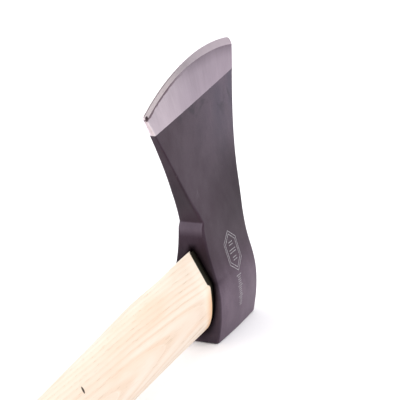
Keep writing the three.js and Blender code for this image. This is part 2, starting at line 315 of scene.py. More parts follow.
# %% The head's skin
# rows are closer where the outline steps, and beside each crease
BODY_HEIGHTS = np.concatenate([np.arange(2.5, 78, 1.5), np.arange(78, 92, 0.6), np.arange(92, 152, 1.5)])
GROUND_SHARES = [0.0, 0.01, *np.linspace(0.06, 0.96, 16), 0.99, 1.0]
HONED_SHARES = [0.97, 0.88, 0.76, 0.62, 0.48, 0.34, 0.2, 0.1, 0.04, 0.0]
SQUARE_UP_BY = 0.05  # the share of the ground bevel over which its heel corner changes

rows = []
for turn in np.linspace(0, np.pi / 2, 6):
    z = POLL_ROUND * (1 - np.cos(turn))
    rows.append(head_ring(body_row(z), body_half(z), POLL_ROUND * (1 - np.sin(turn))))
rows += [head_ring(body_row(z), body_half(z)) for z in BODY_HEIGHTS]
grind, shoulder = body_row(GRIND_HEEL), arc_row(1)
for share in GROUND_SHARES:
    row = between(grind, shoulder, share)
    bevelled = min(1, share / SQUARE_UP_BY)
    heel_share = BODY_HEEL_SHARE + (BEVEL_HEEL_SHARE - BODY_HEEL_SHARE) * bevelled
    rows.append(head_ring(row, bevel_half(row), heel_share=heel_share))
for share in HONED_SHARES:
    row = arc_row(share)
    rows.append(head_ring(row, bevel_half(row), heel_share=BEVEL_HEEL_SHARE))
head = loft("head_steel", rows, CHEEK_POINTS + 2 * CORNER_POINTS, FACE_POINTS)
print("head rows:", len(rows), "faces:", len(head.data.polygons))

# %% [markdown]
# ## The eye
# A smith drifts the eye through the hot head. It is a rounded hole with a point towards the blade, and
# its mouths are worn round, which shows as a dark ring between the steel and the wood. Sinking vertices
# into the skin would need a hole in its grid, so the hole is cut with a solid instead: the same outline
# carried along X, and let out at both mouths.

# %% The eye's outline, and the sleeve that cuts it
EYE_LOW, EYE_WIDEST, EYE_TOP, EYE_WIDTH = 12.0, 42.5, 65.3, 12.1
EYE_BULGE, EYE_FALL = (0.5, 1.4), 9.5  # how far out, and how far down, the lower curve is drawn
OUTLINE_POINTS = 64  # on each flank


def bezier(a, b, c, d, t):
    """The cubic curve from a to d that starts towards b and arrives from c."""
    s = 1 - t
    return s**3 * a + 3 * s * s * t * b + 3 * s * t * t * c + t**3 * d


def eye_outline(gap):
    """(y, z) from the point down the +Y flank and back up the -Y flank, smaller all round by gap.

    The upper flanks are straight from the point to the widest place, and a cubic curve goes from there
    round the bottom. The point moves down twice as far as the flanks move in. Points are spaced evenly,
    and none is on the centre line."""
    half, low, high = EYE_WIDTH - gap, EYE_LOW + gap, EYE_TOP - gap * (2 if gap > 0 else 1)
    t = np.linspace(0, 1, 200)
    y = bezier(half, half + EYE_BULGE[0], half + EYE_BULGE[1], 0, t)
    z = bezier(EYE_WIDEST, EYE_WIDEST - EYE_FALL, low, low, t)
    y, z = np.append(0, y), np.append(high, z)
    run = np.append(0, np.cumsum(np.hypot(np.diff(y), np.diff(z))))
    at = (np.arange(OUTLINE_POINTS) + 0.5) / OUTLINE_POINTS * run[-1]
    flank = np.stack([np.interp(at, run, y), np.interp(at, run, z)], -1)
    return np.concatenate([flank, (flank * [-1, 1])[::-1]])


def at_x(x, outline):
    """A ring of points: the (y, z) outline with x put before each of its points."""
    return np.insert(outline, 0, x, axis=1)


MOUTH_ROUND, SLEEVE_PAST = 2.0, 12.0  # the round of a mouth, and how far the sleeve goes past it
turns = np.linspace(0, np.pi / 2, 7)
mouth_x = EYE_HALF - MOUTH_ROUND * (1 - np.sin(turns))
mouth_gap = -MOUTH_ROUND * (1 - np.cos(turns))
sleeve_end = EYE_HALF + SLEEVE_PAST
stations = np.concatenate([[sleeve_end], mouth_x[::-1], -mouth_x, [-sleeve_end]])
gaps = np.concatenate([[mouth_gap[-1]], mouth_gap[::-1], mouth_gap, [mouth_gap[-1]]])
sleeve_rings = [at_x(x, eye_outline(gap)) for x, gap in zip(stations, gaps)]
cut(head, loft("eye_sleeve", sleeve_rings, OUTLINE_POINTS))
print("head faces with its eye:", len(head.data.polygons))

# %% [markdown]
# ## The haft
# A haft is shaved from a straight-grained ash stave, and its gentle S lets the lower hand sit behind the
# edge. The tenon fills the eye, swells at once into a shoulder under the head, and within a hand's width
# turns from the eye's pointed section into an oval. It ends in a swelled and slanted foot that stops the
# hand. It could be an extrusion along a curve object, but its section changes all the way, so it is a
# loft. A table gives the lower edge, the upper edge and the half width at each distance from the head.
# A splinter has come away from the shoulder's near upper flank, so the wood stands back there.

# %% The haft's measures, in mm from the head's underside
HAFT_TABLE = np.array([  # distance, lower edge, upper edge, half width
    [9, 8.8, 65.4, 12.8],
    [22, 8.5, 65.0, 12.9],
    [60, 7.2, 60.8, 12.8],
    [120, 4.8, 54.4, 12.4],
    [180, 2.8, 48.3, 12.0],
    [230, 1.5, 43.8, 11.8],
    [300, 0.5, 38.8, 11.6],
    [370, 0.3, 36.1, 11.6],
    [440, 1.6, 35.9, 11.8],
    [510, 4.6, 38.3, 12.0],
    [580, 7.9, 41.8, 12.2],
    [635, 9.4, 44.5, 12.5],
    [675, 8.2, 47.0, 13.1],
    [705, 4.6, 51.0, 13.9],
    [728, 1.2, 55.5, 14.4],
])
HAFT_REACH = 9.0
TENON_END = HAFT_HIGH[0]
FOOT_ROUND = 9.0  # it starts at the table's last row
HAFT_LENGTH = HAFT_TABLE[-1, 0] + FOOT_ROUND
ROUNDED_BY = 80.0  # distance by which the eye's outline has turned into an oval
FOOT_SLANT, FOOT_STRETCH = 0.22, 120.0  # how far the foot leans, and the stretch over which it starts to
OVAL_POWER = 0.9
TENON_GAP, TENON_CHAMFER = 0.3, 0.5
TENON_NECK, NECK_DEEP, SHOULDER_AT = 2.4, 2.7, 3.0  # the saw-cut shoulder stands just clear of the steel
SPLIT_DEPTH, SPLIT_STEP, SPLIT_END = 1.8, (43.0, 44.0), 12.0  # the splinter's depth, edge and end
haft_low, haft_high, haft_half = (
    smooth_curve(HAFT_TABLE[:, 0], column, HAFT_REACH) for column in HAFT_TABLE.T[1:]
)


# %% One ring round the haft
def oval_outline(low, high, half):
    """(y, z) of an oval a little squarer than an ellipse: sine and cosine raised to a power below one."""
    turn = (np.arange(2 * OUTLINE_POINTS) + 0.5) / OUTLINE_POINTS * np.pi
    squared = lambda v: np.sign(v) * np.abs(v) ** OVAL_POWER
    middle, reach = (low + high) / 2, (high - low) / 2
    return np.stack([half * squared(np.sin(turn)), middle + reach * squared(np.cos(turn))], -1)


def set_back(y, z):
    """How much further the shoulder stands off on the near upper flank, where a splinter came away.

    It is a smooth step, over a millimetre of height, just above the widest place."""
    return np.where(y < 0, SPLIT_DEPTH * smoothstep(z, *SPLIT_STEP), 0)


def haft_ring(distance):
    """A ring at a distance from the head: the eye's outline stretched to the table's sizes, turning
    smoothly into the oval, and leaning back near the foot. Past the table's end it rounds off."""
    within = min(distance, HAFT_LENGTH - FOOT_ROUND)
    closing = float(fallen(FOOT_ROUND, FOOT_ROUND - (distance - within)))
    low, high = haft_low(within) + closing, haft_high(within) - closing
    half = haft_half(within) - closing
    eye = eye_outline(TENON_GAP)
    y = eye[:, 0] / eye[:, 0].max() * half
    z = low + (eye[:, 1] - eye[:, 1].min()) / np.ptp(eye[:, 1]) * (high - low)
    blend = smoothstep(distance, 0, ROUNDED_BY)
    outline = (1 - blend) * np.stack([y, z], -1) + blend * oval_outline(low, high, half)
    slant = FOOT_SLANT * smoothstep(distance, HAFT_LENGTH - FOOT_STRETCH, HAFT_LENGTH)
    x = -EYE_HALF - distance - slant * (outline[:, 1] - (low + high) / 2)
    x -= set_back(*outline.T) * (1 - smoothstep(distance, SHOULDER_AT, SPLIT_END))
    return np.column_stack([x, outline])


# %% The haft's skin
tenon = eye_outline(TENON_GAP)
rings = [at_x(TENON_END, eye_outline(TENON_GAP + TENON_CHAMFER))]
tenon_x = np.append(TENON_END - TENON_CHAMFER, np.linspace(TENON_END - 1, -EYE_HALF - TENON_NECK, 40))
rings += [at_x(x, tenon) for x in tenon_x]
rings.append(at_x(-EYE_HALF - NECK_DEEP - set_back(*tenon.T), tenon))
foot = HAFT_LENGTH - FOOT_ROUND
near_head = [SHOULDER_AT, 3.6, 5, 7, 9]
foot_shares = np.sin(np.linspace(0, np.pi / 2, 12))[1:-1]
distances = np.concatenate([near_head, np.linspace(11, foot, 300), foot + foot_shares * FOOT_ROUND])
rings += [haft_ring(distance) for distance in distances]
haft = loft("haft_ash", rings, OUTLINE_POINTS)
print("haft rings:", len(rings), "length, mm:", round(float(np.ptp([r[:, 0] for r in rings])), 1))

# %% [markdown]
# ## The wedges
# The tenon is sawn down its middle, a thin beech wedge is driven into the saw cut, and a short steel tube
# is driven in round the middle of both. Only their ends show. The tube is a lathe shape, so its profile
# is turned round the X axis. The beech wedge is flat-sided, and the engineering solid already has its
# shape, so it stays and only gets its finish. The haft gets room for both.

# %% The steel ring, and the cutters for the kerf and the ring
RING_HEIGHT, RING_OUTER, RING_WALL, RING_LENGTH, RING_TIP = 36.0, 8.0, 1.9, 20.0, 0.9
RING_PROUD, RING_CHAMFER, ROOM_CHAMFER = 0.6, 0.25, 0.01
WEDGE_LOW, WEDGE_HIGH, WEDGE_DEPTH, WEDGE_HALF, WEDGE_TIP = 17.0, 54.0, 42.0, 3.1, 0.6
RING_TURNS = 96
CUT_GAP, CUT_PAST = 0.25, 5.0  # room round a wedge, and how far a cutter goes past the tenon's end


def lathe(name, profile):
    """Turns a closed (radius, x) profile round the X axis at the ring's height: y and z are the radius
    times the sine and cosine of the turn."""
    profile = np.asarray(profile, float)
    turn = np.arange(RING_TURNS) / RING_TURNS * 2 * np.pi
    r, x = profile[:, 0], profile[:, 1]
    points = np.stack([
        np.broadcast_to(x, (RING_TURNS, len(x))),
        np.sin(turn)[:, None] * r,
        RING_HEIGHT + np.cos(turn)[:, None] * r,
    ], -1)
    m = len(profile)
    t, p = np.meshgrid(np.arange(RING_TURNS), np.arange(m), indexing="ij")
    s, q = (t + 1) % RING_TURNS, (p + 1) % m
    faces = np.stack([t * m + p, s * m + p, s * m + q, t * m + q], -1).reshape(-1, 4)
    return mesh_object(name, points.reshape(-1, 3), faces.tolist())


def ring_profile(gap, proud):
    """The tube's wall, thicker all round by gap: straight inside, and tapering outside to its tip."""
    inner, outer = RING_OUTER - RING_WALL - gap, RING_OUTER + gap
    tip, back = TENON_END - RING_LENGTH, TENON_END + proud
    chamfer = RING_CHAMFER if gap == 0 else ROOM_CHAMFER
    return [
        (inner, tip - gap),
        (inner, back - chamfer),
        (inner + chamfer, back),
        (outer - chamfer, back),
        (outer, back - chamfer),
        (outer, tip + RING_LENGTH / 3),
        (outer - RING_WALL + RING_TIP, tip - gap),
    ]


def kerf(gap):
    """The wedge's space, larger by gap and open past the tenon's end."""
    slope = (WEDGE_HALF - WEDGE_TIP) / WEDGE_DEPTH
    start, tip = TENON_END + CUT_PAST, TENON_END - WEDGE_DEPTH - gap
    at_tip = WEDGE_TIP + gap
    at_start = at_tip + slope * (start - tip)
    low, high = WEDGE_LOW - gap, WEDGE_HIGH + gap
    points = [(x, y, z) for z in (low, high) for x, y in (
        (tip, -at_tip), (start, -at_start), (start, at_start), (tip, at_tip))]
    faces = [[3, 2, 1, 0], [4, 5, 6, 7], [0, 1, 5, 4], [1, 2, 6, 5], [2, 3, 7, 6], [3, 0, 4, 7]]
    return mesh_object("kerf", points, faces)


ring = lathe("ring_wedge_steel", ring_profile(0, RING_PROUD))
cut(haft, kerf(CUT_GAP), lathe("ring_room", ring_profile(CUT_GAP, CUT_PAST)))
print("haft faces with its cuts:", len(haft.data.polygons), "ring faces:", len(ring.data.polygons))

# %% [markdown]
# ## The mark on the cheek
# Makers etch a badge on the near cheek with a laser. Here it is a plain six-sided badge with three pairs
# of bars, over a scale of ticks, and it says nothing. It could be a pattern in the steel's material, but
# its lines are half a millimetre wide, and baking would blur them. So each line is a real ribbon
# that follows the curve of the cheek and stands three hundredths of a millimetre out of it.

# %% Ribbons on the cheek
LINE_WIDTH, LINE_PROUD, LINE_SUNK = 0.5, 0.03, 0.08
LINE_STEPS = 8  # steps in each straight stretch
ROW_ROUNDS = 4


def cheek_y(x, z):
    """Y of the near cheek at (x, z): the row through the point is found by rounds of correction."""
    row_z = z
    for _ in range(ROW_ROUNDS):
        u = (x - heel_x(row_z)) / (toe_x(row_z + tilt(row_z)) - heel_x(row_z))
        row_z = z - u * tilt(row_z)
    return -thickness(row_z, u)


def ribbon(corners, closed):
    """A line through (x, z) corners, cut into short steps, as four rails: left and right of the line,
    just above and just below the steel. The rails are the line moved sideways by half its width."""
    corners = np.asarray(corners, float)
    ends = np.roll(corners, -1, axis=0) if closed else corners[1:]
    shares = np.arange(LINE_STEPS)[:, None] / LINE_STEPS
    steps = [a + shares * (b - a) for a, b in zip(corners, ends)]
    path = np.concatenate(steps if closed else [*steps, corners[-1:]])
    if closed:
        ahead = np.roll(path, -1, axis=0) - np.roll(path, 1, axis=0)
    else:
        ahead = np.gradient(path, axis=0)
    ahead /= np.linalg.norm(ahead, axis=1)[:, None]
    aside = np.stack([-ahead[:, 1], ahead[:, 0]], -1) * LINE_WIDTH / 2
    rails = []
    for side, lift in ((1, LINE_PROUD), (-1, LINE_PROUD), (-1, -LINE_SUNK), (1, -LINE_SUNK)):
        x, z = (path + side * aside).T
        rails.append(np.stack([x, cheek_y(x, z) - lift, z], -1))
    return np.stack(rails, 1)


# %% The badge and the ticks
BADGE_X, BADGE_Z, BADGE_WIDE, BADGE_TALL, BADGE_CORNER = 0.0, 55.0, 8.6, 13.6, 0.52
INNER_WIDE, INNER_TALL = BADGE_WIDE - 1.7, BADGE_TALL - 2.2
BARS, BAR_APART = ((5.0, 2.6), (0.0, 4.4), (-5.0, 2.6)), 0.9  # each pair's height and half length
TICK_X, TICK_HEIGHTS = BADGE_X - 1, np.arange(38.5, 16, -1.5)
LONG_TICK, SHORT_TICK, LONG_EVERY = 3.2, 2.0, 5
points, faces = [], []


def six_sided(wide, tall):
    """Corners of an upright badge: a point at the top and bottom, and straight sides."""
    x = np.array([0, 1, 1, 0, -1, -1]) * wide
    z = np.array([1, BADGE_CORNER, -BADGE_CORNER, -1, -BADGE_CORNER, BADGE_CORNER]) * tall
    return np.stack([BADGE_X + x, BADGE_Z + z], -1)


def add_line(corners, closed=False):
    """Adds one ribbon's points and faces to the mark."""
    rails = ribbon(corners, closed)
    n, first = len(rails), sum(len(p) for p in points)
    for i in range(n if closed else n - 1):
        a, b = first + 4 * i, first + 4 * ((i + 1) % n)
        faces.extend([a + k, a + (k + 1) % 4, b + (k + 1) % 4, b + k] for k in range(4))
    if not closed:
        end = first + 4 * (n - 1)
        faces.append([first + 3, first + 2, first + 1, first])
        faces.append([end, end + 1, end + 2, end + 3])
    points.append(rails.reshape(-1, 3))


add_line(six_sided(BADGE_WIDE, BADGE_TALL), closed=True)
add_line(six_sided(INNER_WIDE, INNER_TALL), closed=True)
for height, half in BARS:
    for z in (BADGE_Z + height - BAR_APART, BADGE_Z + height + BAR_APART):
        add_line([(BADGE_X - half, z), (BADGE_X + half, z)])
for number, z in enumerate(TICK_HEIGHTS):
    half = SHORT_TICK if number % LONG_EVERY else LONG_TICK
    add_line([(TICK_X - half, z), (TICK_X + half, z)])
mark = mesh_object("cheek_mark", np.concatenate(points), faces)
print("mark lines:", len(points), "faces:", len(faces))

# %% [markdown]
# ## Making materials
# Every finish below is built from the same few parts: the place of a point on the piece, some noise
# stretched along a direction, sums and ramps, and the main surface shader. They could be wired by hand in
# the shader editor, but there are a few hundred of them, so a small builder keeps the steps short. Places
# are read in Object coordinates, in metres, so a pattern stays on its piece.


# %% A small builder for material nodes
class Finish:
    """One material. Each method adds a node and gives back its output, so calls can be nested."""

    def __init__(self, name):
        self.material = bpy.data.materials.new(name)
        self.material.use_nodes = True
        self.tree = self.material.node_tree
        self.shader = self.tree.nodes["Principled BSDF"]
        self.place = self.add("ShaderNodeTexCoord").outputs["Object"]
        self.x, self.y, self.z = self.add("ShaderNodeSeparateXYZ", Vector=self.place).outputs

    def add(self, kind, settings=(), **inputs):
        """A node with settings, whose inputs are numbers, colours or other nodes' outputs.

        An input goes by its number, as i0 or i1, or by its name, with _ for a space."""
        node = self.tree.nodes.new(kind)
        for key, value in dict(settings).items():
            setattr(node, key, value)
        for key, value in inputs.items():
            self.put(node.inputs[int(key[1:]) if key[1:].isdigit() else key.replace("_", " ")], value)
        return node

    def put(self, socket, value):
        """Links or sets one input."""
        if isinstance(value, bpy.types.NodeSocket):
            self.tree.links.new(value, socket)
        else:
            socket.default_value = value

    def math(self, operation, a, b=0.0, c=0.0):
        """One step on numbers."""
        return self.add("ShaderNodeMath", {"operation": operation}, i0=a, i1=b, i2=c).outputs[0]

    def plus(self, a, b):
        """a plus b."""
        return self.math("ADD", a, b)

    def minus(self, a, b):
        """a less b."""
        return self.math("SUBTRACT", a, b)

    def times(self, first, *others):
        """The product of all the numbers."""
        for other in others:
            first = self.math("MULTIPLY", first, other)
        return first

    def linear(self, value, slope, start):
        """slope times value, plus start."""
        return self.math("MULTIPLY_ADD", value, slope, start)

    def length(self, a, b):
        """The square root of a squared plus b squared."""
        return self.math("SQRT", self.plus(self.times(a, a), self.times(b, b)))

    def ramp(self, value, low, high, to_low=0.0, to_high=1.0):
        """A smooth step from to_low to to_high as value goes from low to high."""
        settings = {"interpolation_type": "SMOOTHSTEP"}
        node = self.add("ShaderNodeMapRange", settings, i0=value, i1=low, i2=high, i3=to_low, i4=to_high)
        return node.outputs[0]

    def ramp_mm(self, value, ends, to_low=0.0, to_high=1.0):
        """The same step for a place, with its two ends in millimetres."""
        return self.ramp(value, ends[0] * MM, ends[1] * MM, to_low, to_high)

    def band_mm(self, value, ends):
        """For a place: 0 before the first end, 1 from the second to the third, and 0 past the fourth."""
        return self.times(self.ramp_mm(value, ends[:2]), self.ramp_mm(value, ends[:1:-1]))

    def scaled(self, share, colour):
        """A colour times a number."""
        node = self.add("ShaderNodeVectorMath", {"operation": "SCALE"}, i0=colour, Scale=share)
        return node.outputs[0]

    def mix(self, share, a, b):
        """A colour a share of the way from a to b."""
        node = self.add("ShaderNodeMix", {"data_type": "RGBA"}, i0=share, i6=a, i7=b)
        return node.outputs[2]

    def blend(self, share, a, b):
        """A number a share of the way from a to b."""
        return self.add("ShaderNodeMix", {"data_type": "FLOAT"}, i0=share, i2=a, i3=b).outputs[0]

    def point(self, x, y, z):
        """A point from three numbers."""
        return self.add("ShaderNodeCombineXYZ", i0=x, i1=y, i2=z).outputs[0]

    def noise(self, scale, detail=2.0, where=None, rough=0.5, twist=0.0):
        """Noise from 0 to 1, with a scale for each axis in cycles a metre."""
        settings = {"operation": "MULTIPLY"}
        place = self.add("ShaderNodeVectorMath", settings, i0=where or self.place, i1=scale).outputs[0]
        node = self.add("ShaderNodeTexNoise", Vector=place, Scale=1.0, Detail=detail, Roughness=rough,
                        Distortion=twist)
        return node.outputs["Fac"]

    def bump(self, height, depth, normal=None):
        """Shading relief for a height from 0 to 1 that is depth millimetres deep."""
        node = self.add("ShaderNodeBump", Height=height, Distance=depth * MM, Strength=1.0)
        if normal is not None:
            self.put(node.inputs["Normal"], normal)
        return node.outputs["Normal"]

    def surface(self, **inputs):
        """Sets the main shader's inputs."""
        for key, value in inputs.items():
            self.put(self.shader.inputs[key.replace("_", " ")], value)

    def cover(self, obj):
        """Makes this the one material of an object."""
        obj.data.materials.clear()
        obj.data.materials.append(self.material)


# %% [markdown]
# ## Steel, coated and ground
# The head is dipped in a black satin coat after forging. The forge leaves the surface faintly uneven, so
# the coat's gloss wanders. Then the last of the blade is ground bright on a wheel, square to the edge,
# and the edge itself is honed to a second, steeper bevel. Each could be a material on its own faces, but
# then every border would follow the mesh. One material covers the whole head instead. Each border is
# worked out from X and Z, and the grinding marks are noise in the edge's own polar coordinates, drawn
# out along the radius.

# %% The steel's colours
COAT_DARK, COAT_PALE = (0.026, 0.013, 0.021, 1), (0.044, 0.029, 0.040, 1)
POLL_REFLECTION_DARK, POLL_REFLECTION_PALE = (0.088, 0.062, 0.085, 1), (0.136, 0.101, 0.131, 1)
COAT_TIP_REFLECTION, COAT_BLUE = (0.050, 0.040, 0.062, 1), (0.012, 0.010, 0.016, 1)
COAT_LEDGE_HIGHLIGHT, COAT_SCUFF = (0.150, 0.120, 0.150, 1), (0.16, 0.14, 0.16, 1)
GROUND_HEEL, GROUND_TOE = (0.41, 0.365, 0.388, 1), (0.305, 0.272, 0.296, 1)
HONED, HONED_HEEL_END = (0.70, 0.63, 0.66, 1), (0.95, 0.85, 0.86, 1)
HEEL_POLISH, DARK_LINE = (0.68, 0.60, 0.62, 1), (0.085, 0.060, 0.065, 1)
SOOT_AND_SHADE_COLOUR = (0.007, 0.004, 0.005, 1)
COAT_SHINE, COAT_IOR = (1.0, 0.82, 0.98, 1), 1.28  # faintly violet, and weak, so that the coat stays dark

# %% Places on the head: distance from the edge, the grind line and the honed bevel
GRIND_X = float(heel_x(GRIND_HEEL))  # the line's heel end
GRIND_SLOPE = (GRIND_TOE - GRIND_HEEL) / (float(toe_x(GRIND_TOE)) - GRIND_X)
GRIND_STRAY, GRIND_SOFT = 0.3, 0.12  # mm that the line strays, and that it fades over, to either side
HONED_SOFT = 0.15

STEEL = Finish("forged_steel")
f = STEEL  # f is the finish in hand
edge_dx = f.minus(f.x, EDGE_X * MM)
edge_dz = f.minus(f.z, EDGE_Z * MM)
radius = f.length(edge_dx, edge_dz)
round_edge = f.times(f.math("ARCTAN2", edge_dx, edge_dz), EDGE_RADIUS * MM)
polar = f.point(round_edge, f.y, radius)
back = f.minus(EDGE_RADIUS * MM, radius)

line_z = f.linear(f.x, GRIND_SLOPE, (GRIND_HEEL - GRIND_SLOPE * GRIND_X) * MM)
ragged = f.linear(f.noise((900, 900, 900), 3), 2 * GRIND_STRAY * MM, -GRIND_STRAY * MM)
above_line = f.plus(f.minus(f.z, line_z), ragged)
is_ground = f.ramp_mm(above_line, (-GRIND_SOFT, GRIND_SOFT))

honed_width_here = f.ramp_mm(f.x, HONED_SPREAD, HONED_HEEL * MM, HONED_TOE * MM)
past = f.minus(back, honed_width_here)
is_honed = f.ramp_mm(past, (HONED_SOFT, -HONED_SOFT))
print("slope of the grind line:", round(GRIND_SLOPE, 3))

# %% [markdown]
# The wheel leaves streaks, and the steel just behind the honed bevel is painted darker towards the
# toe, as painted shade. A dark line runs along the honed bevel and thickens towards the heel. There
# the narrow face under the heel is polished, and a dark spot at the very end of the edge is a painted
# dark reflection.

# %% Ground and honed steel
# a pair says where a change starts and where it is full, in mm; a share says how strong it is
TOWARD_TOE, TOWARD_HEEL = (-55, -12), (-18, -48)
SHADE_BEHIND_HONED, SHADE_BEHIND_ALONG, SHADE_BEHIND_SHARE = (8.5, 0.8), (-42, 0), 0.27
BRUSHED_SHADES = (1.08, 0.92)
INNER_LINE_WIDEST, INNER_LINE_START, INNER_LINE_FADE = 3.4, 0.4, 0.7
INNER_LINE_SHARE_TOE, INNER_LINE_SHARE_HEEL = 0.12, 0.85
RIM, RIM_SHARE = (0.8, 0.3), 0.6  # a dark rim along the edge itself
HEEL_FACE, POLISH_SHARE = (1.6, 0.4), 0.8
DARK_REFLECTION_BACK, DARK_REFLECTION_IN = 2.2, 1.6  # the dark spot's middle, back from the edge and in from the heel
DARK_REFLECTION_STRAY, DARK_REFLECTION_RADIUS = 0.8, (2.0, 1.2)
DARK_REFLECTION_Z = float(outline_height(heel_x, DARK_REFLECTION_BACK))
DARK_REFLECTION_X = float(heel_x(DARK_REFLECTION_Z)) + DARK_REFLECTION_IN

streaks = f.noise((1500, 500, 40), 4, polar, 0.6)
broad = f.noise((110, 90, 34), 4, polar, 0.6, 0.5)
fine_streaks = f.noise((7000, 900, 160), 2, polar, 0.6)
at_heel = f.ramp_mm(f.x, TOWARD_HEEL)
ground_colour = f.mix(f.ramp_mm(f.x, TOWARD_TOE), GROUND_HEEL, GROUND_TOE)
# painted shade: the ground steel just behind the honed bevel is darker towards the toe
shade_behind_honed = f.times(f.ramp_mm(past, SHADE_BEHIND_HONED), f.ramp_mm(f.x, SHADE_BEHIND_ALONG))
brushed = f.ramp(f.blend(0.6, streaks, broad), 0.30, 0.70, *BRUSHED_SHADES)
ground_colour = f.scaled(f.linear(shade_behind_honed, -SHADE_BEHIND_SHARE, brushed), ground_colour)

# a dark line along the honed bevel's inner border, stronger towards the heel
inner_line_width = f.times(f.noise((170, 1, 170), 3), INNER_LINE_WIDEST * MM)
inner_dark_line = f.times(f.ramp_mm(past, (-INNER_LINE_START, 0)), f.ramp_mm(f.minus(past, inner_line_width), (0, -INNER_LINE_FADE)))
inner_dark_line = f.times(inner_dark_line, f.blend(at_heel, INNER_LINE_SHARE_TOE, INNER_LINE_SHARE_HEEL))
ground_colour = f.mix(inner_dark_line, ground_colour, DARK_LINE)
rim = f.times(f.ramp_mm(back, RIM), at_heel, RIM_SHARE)
honed_colour = f.mix(rim, f.mix(at_heel, HONED, HONED_HEEL_END), DARK_LINE)
ground_colour = f.mix(is_honed, ground_colour, honed_colour)

above_neck = f.math("MAXIMUM", f.minus(f.z, NECK * MM), 0.0)
flare = f.times(above_neck, f.linear(above_neck, HEEL_CURVE / MM, HEEL_SLOPE))
from_heel = f.plus(f.plus(f.x, EYE_HALF * MM), flare)
on_heel_face = f.ramp_mm(from_heel, HEEL_FACE)
ground_colour = f.mix(f.times(on_heel_face, POLISH_SHARE), ground_colour, HEEL_POLISH)

# painted dark reflection: a dark spot at the heel end of the honed bevel
from_dark_reflection = f.length(f.minus(f.x, DARK_REFLECTION_X * MM), f.minus(f.z, DARK_REFLECTION_Z * MM))
dark_reflection_noise = f.noise((900, 900, 900), 2)
from_dark_reflection = f.linear(dark_reflection_noise, 2 * DARK_REFLECTION_STRAY * MM, f.minus(from_dark_reflection, DARK_REFLECTION_STRAY * MM))
ground_colour = f.mix(f.ramp_mm(from_dark_reflection, DARK_REFLECTION_RADIUS), ground_colour, DARK_LINE)
print("the nick at the heel, mm:", round(DARK_REFLECTION_X, 1), round(DARK_REFLECTION_Z, 1))

# %% [markdown]
# The coat is painted paler on the poll, and paler and bluer at the tip of the toe, as painted
# reflections. It is painted darker in the hollow of the neck and on the narrow face under the heel,
# which is painted shade, and its ledge has a painted highlight. Blue-black smudges from the heat of the
# wheel lie just under the grind line, and a few scuffs run up the cheek. Marks like these could be
# painted by hand. Masks by place and noise do the same, and they need no file.

# %% The coat
# pairs and shares are as before; four places say where a band starts, is full, starts to fade and ends
POLL_RISE, POLL_ROUGHER = (62, 30), 0.14
TIP_UP, TIP_ALONG = (85, 155), (-50, 45)
NECK_HOLLOW, NECK_ALONG, NECK_SHADE, NECK_ROUGHER = (60, 78, 100, 135), (-30, 30), 0.4, 0.14
SHADE_SPLIT, SHADE_LOW, SHADE_HIGH = (82, 86), (78, 56), (145, 98)
SHADE_LOW_SHARE, SHADE_HIGH_SHARES = 0.55, (0.05, 0.42)
LEDGE_HEIGHTS, LEDGE_SIDE, LEDGE_WIDTH = (73.0, 81.8, 83.2, 84.6), (-26, -28), (8.5, 7.8)
SMUDGE_UNDER, SMUDGE_SHARE, SCUFF_SHARE = (-34, -4), 0.7, 0.35

beside = f.math("ABSOLUTE", f.y)
cloud = f.noise((45, 45, 30), 4, rough=0.6)
speck = f.noise((1400, 1400, 1400), 3)
forge_marks = f.noise((140, 140, 60), 5, rough=0.65, twist=0.4)
patchy = f.ramp(f.blend(0.25, cloud, speck), 0.35, 0.68)
toward_poll = f.ramp_mm(f.z, POLL_RISE)
# painted reflection of the floor: the coat is paler towards the poll
coat_colour = f.mix(toward_poll, f.mix(patchy, COAT_DARK, COAT_PALE), f.mix(patchy, POLL_REFLECTION_DARK, POLL_REFLECTION_PALE))
# painted reflection: the coat is paler and bluer towards the tip of the toe
toward_tip = f.times(f.ramp_mm(f.z, TIP_UP), f.ramp_mm(f.x, TIP_ALONG))
coat_colour = f.mix(toward_tip, coat_colour, f.mix(patchy, COAT_TIP_REFLECTION, POLL_REFLECTION_DARK))

# painted shade: the coat is darker in the hollow of the neck
neck = f.times(f.band_mm(f.z, NECK_HOLLOW), f.ramp_mm(f.x, NECK_ALONG))
coat_colour = f.scaled(f.linear(neck, -NECK_SHADE, 1.0), coat_colour)
# painted shade: the narrow face under the heel is darker, below the neck and above it
shade_low = f.ramp_mm(f.z, SHADE_LOW, 0.0, SHADE_LOW_SHARE)
shade_high = f.ramp_mm(f.z, SHADE_HIGH, *SHADE_HIGH_SHARES)
in_shade = f.times(on_heel_face, f.blend(f.ramp_mm(f.z, SHADE_SPLIT), shade_low, shade_high))
coat_colour = f.scaled(f.minus(1.0, in_shade), coat_colour)

# painted highlight along the ledge, paler in patches
ledge_highlight = f.times(f.band_mm(f.z, LEDGE_HEIGHTS), f.ramp_mm(f.x, LEDGE_SIDE), f.ramp_mm(beside, LEDGE_WIDTH))
coat_colour = f.mix(f.times(ledge_highlight, f.linear(cloud, 0.6, 0.35)), coat_colour, COAT_LEDGE_HIGHLIGHT)
smudge = f.ramp(f.noise((55, 55, 38), 3, rough=0.6, twist=0.8), 0.54, 0.68)
smudge = f.times(smudge, f.ramp_mm(above_line, SMUDGE_UNDER), SMUDGE_SHARE)
coat_colour = f.mix(smudge, coat_colour, COAT_BLUE)
scuff = f.times(f.ramp(f.noise((420, 420, 36), 3, twist=0.3), 0.66, 0.80),
                f.ramp(f.noise((30, 30, 30), 2), 0.50, 0.66), SCUFF_SHARE)
coat_colour = f.mix(scuff, coat_colour, COAT_SCUFF)
coat_rough = f.linear(neck, NECK_ROUGHER, f.linear(forge_marks, 0.16, 0.30))
coat_rough = f.linear(toward_poll, POLL_ROUGHER, coat_rough)
print("steel nodes with the coat:", len(STEEL.tree.nodes))

